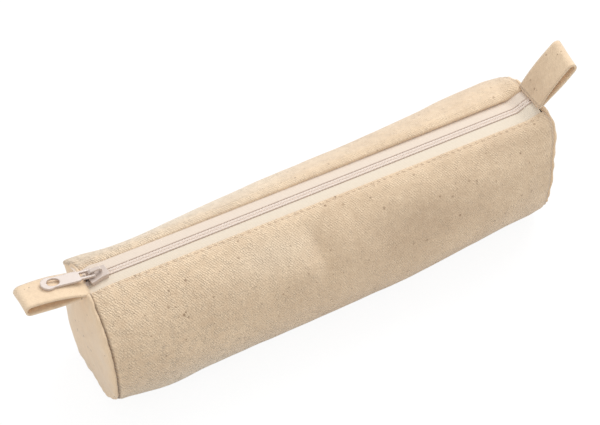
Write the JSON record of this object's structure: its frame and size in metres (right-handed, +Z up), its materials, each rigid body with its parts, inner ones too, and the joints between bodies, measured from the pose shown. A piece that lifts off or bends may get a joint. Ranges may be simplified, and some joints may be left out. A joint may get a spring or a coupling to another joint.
{
  "type": "cotton pencil case",
  "caption": "Soft canvas tube with round end panels, a coil zip along its top with slider and pull, and a folded fabric loop at each end; it rests on a flat base.",
  "frame": {"origin": "middle of the flat base that the case rests on", "axes": "+X along the case, from the end where the closed zip's slider lies to the end with the raised loop; -Y is the front; +Z is up"},
  "size_m": [0.2462, 0.06, 0.0739],
  "materials": {
    "canvas": "unbleached cotton canvas with seed flecks",
    "zip_tape": "woven zip tape, cream",
    "zip_coil": "satin nylon coil",
    "slider_enamel": "painted die-cast metal, warm pale grey"
  },
  "bodies": {
    "case": {"body_panel": "canvas", "end_panel_left": "canvas", "end_panel_right": "canvas", "top_stop_front": "zip_coil", "top_stop_back": "zip_coil"},
    "front_stringer": {"tape_front": "zip_tape", "coil_front": "zip_coil"},
    "back_stringer": {"tape_back": "zip_tape", "coil_back": "zip_coil"},
    "slider": {"slider_body": "slider_enamel"},
    "pull": {"pull_tab": "slider_enamel"},
    "left_tab": {"tab_left": "canvas"},
    "right_tab": {"tab_right": "canvas"}
  },
  "joints": [
    {"name": "slider_slide", "type": "slide", "parent": "case", "child": "slider", "axis": [0.9995, -0.0314, 0], "range_m": [0, 0.1856]},
    {"name": "pull_swing", "type": "hinge", "parent": "slider", "child": "pull", "pos_m": [-0.0968, 0.00304, 0.05738], "axis": [0.0314, 0.9995, 0], "range_deg": [0, 140]},
    {"name": "front_fold", "type": "hinge", "parent": "case", "child": "front_stringer", "pos_m": [-0.00022, -0.0071, 0.0539], "axis": [0.9995, -0.0314, 0], "range_deg": [0, 61], "deforming": ["tape_front", "coil_front"]},
    {"name": "back_fold", "type": "hinge", "parent": "case", "child": "back_stringer", "pos_m": [0.00022, 0.0071, 0.0539], "axis": [-0.9995, 0.0314, 0], "range_deg": [0, 61], "deforming": ["tape_back", "coil_back"]},
    {"name": "left_tab_bend", "type": "hinge", "parent": "case", "child": "left_tab", "pos_m": [-0.10275, 0.00323, 0.0551], "axis": [-0.0314, -0.9995, 0], "range_deg": [0, 55], "stiffness_Nm_per_rad": 0.004},
    {"name": "right_tab_bend", "type": "hinge", "parent": "case", "child": "right_tab", "pos_m": [0.10275, -0.00323, 0.0551], "axis": [0.0314, 0.9995, 0], "range_deg": [0, 85], "stiffness_Nm_per_rad": 0.004}
  ],
  "couplings": [
    {"joint": "front_fold", "follows": "slider_slide", "rad_per_m": 5.642},
    {"joint": "back_fold", "follows": "slider_slide", "rad_per_m": 5.642}
  ]
}
